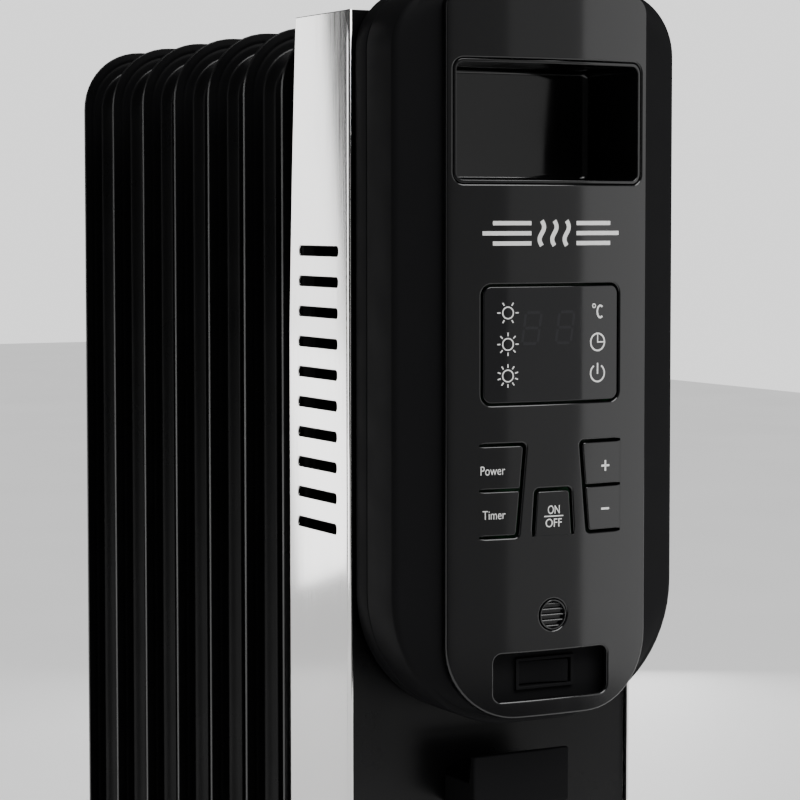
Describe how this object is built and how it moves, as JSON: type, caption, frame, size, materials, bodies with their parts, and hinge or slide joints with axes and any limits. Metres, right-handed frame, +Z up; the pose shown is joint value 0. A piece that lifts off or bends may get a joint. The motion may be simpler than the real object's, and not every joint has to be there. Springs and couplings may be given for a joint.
{
  "type": "oil filled radiator heater",
  "caption": "Free-standing oil filled radiator on castors, with a glossy convex control panel, handle pocket, polished slotted side strips and black steel fins.",
  "frame": {"origin": "on the floor, under the middle of the heater's length and width", "axes": "+Z up, -Y towards the control panel, +X to the right when facing the panel"},
  "size_m": [0.24, 0.4163, 0.64],
  "materials": {
    "fin_enamel": "black powder coat, low sheen",
    "case_enamel": "black powder coat, low sheen",
    "polished_strip": "polished stainless steel",
    "zinc_steel": "zinc plated steel",
    "housing_plastic": "black ABS, satin",
    "panel_gloss": "black ABS, high gloss",
    "smoked_lens": "smoked acrylic, polished",
    "circuit_board": "glass fibre board, green resist",
    "black_moulding": "black moulded plastic",
    "seal_rubber": "black rubber",
    "white_moulding": "ivory moulded plastic",
    "castor_plastic": "black nylon",
    "castor_tread": "black nylon tread"
  },
  "bodies": {
    "heater": {"fin_1": "fin_enamel", "fin_2": "fin_enamel", "fin_3": "fin_enamel", "fin_4": "fin_enamel", "fin_5": "fin_enamel", "fin_6": "fin_enamel", "fin_7": "fin_enamel", "header_upper": "fin_enamel", "header_lower": "fin_enamel", "fill_plug": "fin_enamel", "end_case": "case_enamel", "foot_front": "case_enamel", "foot_rear": "case_enamel", "side_strip_left": "polished_strip", "side_strip_right": "polished_strip", "heating_element": "zinc_steel", "element_flange": "zinc_steel", "u_bolt_front": "zinc_steel", "u_bolt_rear": "zinc_steel", "thermal_fuse": "zinc_steel", "transformer": "zinc_steel", "wing_nut_front_left": "zinc_steel", "wing_nut_front_right": "zinc_steel", "wing_nut_rear_left": "zinc_steel", "wing_nut_rear_right": "zinc_steel", "front_cover": "housing_plastic", "rear_housing": "housing_plastic", "cord_cleat_upper": "housing_plastic", "cord_cleat_lower": "housing_plastic", "control_panel": "panel_gloss", "handle_pocket": "panel_gloss", "display_lens": "smoked_lens", "display_board": "circuit_board", "key_board": "circuit_board", "power_board": "circuit_board", "led_digits": "black_moulding", "relay_left": "black_moulding", "relay_right": "black_moulding", "sensor_grille": "black_moulding", "room_sensor": "black_moulding", "rocker_body": "black_moulding", "overheat_cutout": "black_moulding", "cord_gland": "seal_rubber", "element_gasket": "seal_rubber", "tip_over_switch": "white_moulding", "terminal_block": "white_moulding"},
    "power_key": {"key_power": "panel_gloss"},
    "timer_key": {"key_timer": "panel_gloss"},
    "on_off_key": {"key_on_off": "panel_gloss"},
    "plus_key": {"key_plus": "panel_gloss"},
    "minus_key": {"key_minus": "panel_gloss"},
    "rocker": {"rocker_key": "black_moulding"},
    "castor_front_left": {"castor_fork_front_left": "castor_plastic"},
    "wheel_front_left": {"castor_wheel_front_left": "castor_tread"},
    "castor_front_right": {"castor_fork_front_right": "castor_plastic"},
    "wheel_front_right": {"castor_wheel_front_right": "castor_tread"},
    "castor_rear_left": {"castor_fork_rear_left": "castor_plastic"},
    "wheel_rear_left": {"castor_wheel_rear_left": "castor_tread"},
    "castor_rear_right": {"castor_fork_rear_right": "castor_plastic"},
    "wheel_rear_right": {"castor_wheel_rear_right": "castor_tread"}
  },
  "joints": [
    {"name": "power_key_press", "type": "hinge", "parent": "heater", "child": "power_key", "pos_m": [-0.0374, -0.20414, 0.42035], "axis": [0, 0, 1], "range_deg": [0, 2.5], "stiffness_Nm_per_rad": 0.6},
    {"name": "timer_key_press", "type": "hinge", "parent": "heater", "child": "timer_key", "pos_m": [-0.0374, -0.20414, 0.3993], "axis": [0, 0, 1], "range_deg": [0, 2.5], "stiffness_Nm_per_rad": 0.6},
    {"name": "plus_key_press", "type": "hinge", "parent": "heater", "child": "plus_key", "pos_m": [0.0374, -0.20414, 0.42035], "axis": [0, 0, -1], "range_deg": [0, 2.5], "stiffness_Nm_per_rad": 0.6},
    {"name": "minus_key_press", "type": "hinge", "parent": "heater", "child": "minus_key", "pos_m": [0.0374, -0.20414, 0.3993], "axis": [0, 0, -1], "range_deg": [0, 2.5], "stiffness_Nm_per_rad": 0.6},
    {"name": "on_off_key_press", "type": "hinge", "parent": "heater", "child": "on_off_key", "pos_m": [0, -0.2069, 0.3883], "axis": [-1, 0, 0], "range_deg": [0, 2.5], "stiffness_Nm_per_rad": 0.6},
    {"name": "rocker_tilt", "type": "hinge", "parent": "heater", "child": "rocker", "pos_m": [0, -0.19481, 0.3235], "axis": [0, 0, 1], "range_deg": [0, 16]},
    {"name": "castor_front_left_swivel", "type": "hinge", "parent": "heater", "child": "castor_front_left", "pos_m": [-0.104, -0.05826, 0.0584], "axis": [0, 0, 1], "continuous": true},
    {"name": "wheel_front_left_spin", "type": "hinge", "parent": "castor_front_left", "child": "wheel_front_left", "pos_m": [-0.104, -0.04626, 0.02], "axis": [1, 0, 0], "continuous": true},
    {"name": "castor_front_right_swivel", "type": "hinge", "parent": "heater", "child": "castor_front_right", "pos_m": [0.104, -0.05826, 0.0584], "axis": [0, 0, 1], "continuous": true},
    {"name": "wheel_front_right_spin", "type": "hinge", "parent": "castor_front_right", "child": "wheel_front_right", "pos_m": [0.104, -0.04626, 0.02], "axis": [1, 0, 0], "continuous": true},
    {"name": "castor_rear_left_swivel", "type": "hinge", "parent": "heater", "child": "castor_rear_left", "pos_m": [-0.104, 0.16924, 0.0584], "axis": [0, 0, 1], "continuous": true},
    {"name": "wheel_rear_left_spin", "type": "hinge", "parent": "castor_rear_left", "child": "wheel_rear_left", "pos_m": [-0.104, 0.18124, 0.02], "axis": [1, 0, 0], "continuous": true},
    {"name": "castor_rear_right_swivel", "type": "hinge", "parent": "heater", "child": "castor_rear_right", "pos_m": [0.104, 0.16924, 0.0584], "axis": [0, 0, 1], "continuous": true},
    {"name": "wheel_rear_right_spin", "type": "hinge", "parent": "castor_rear_right", "child": "wheel_rear_right", "pos_m": [0.104, 0.18124, 0.02], "axis": [1, 0, 0], "continuous": true}
  ]
}
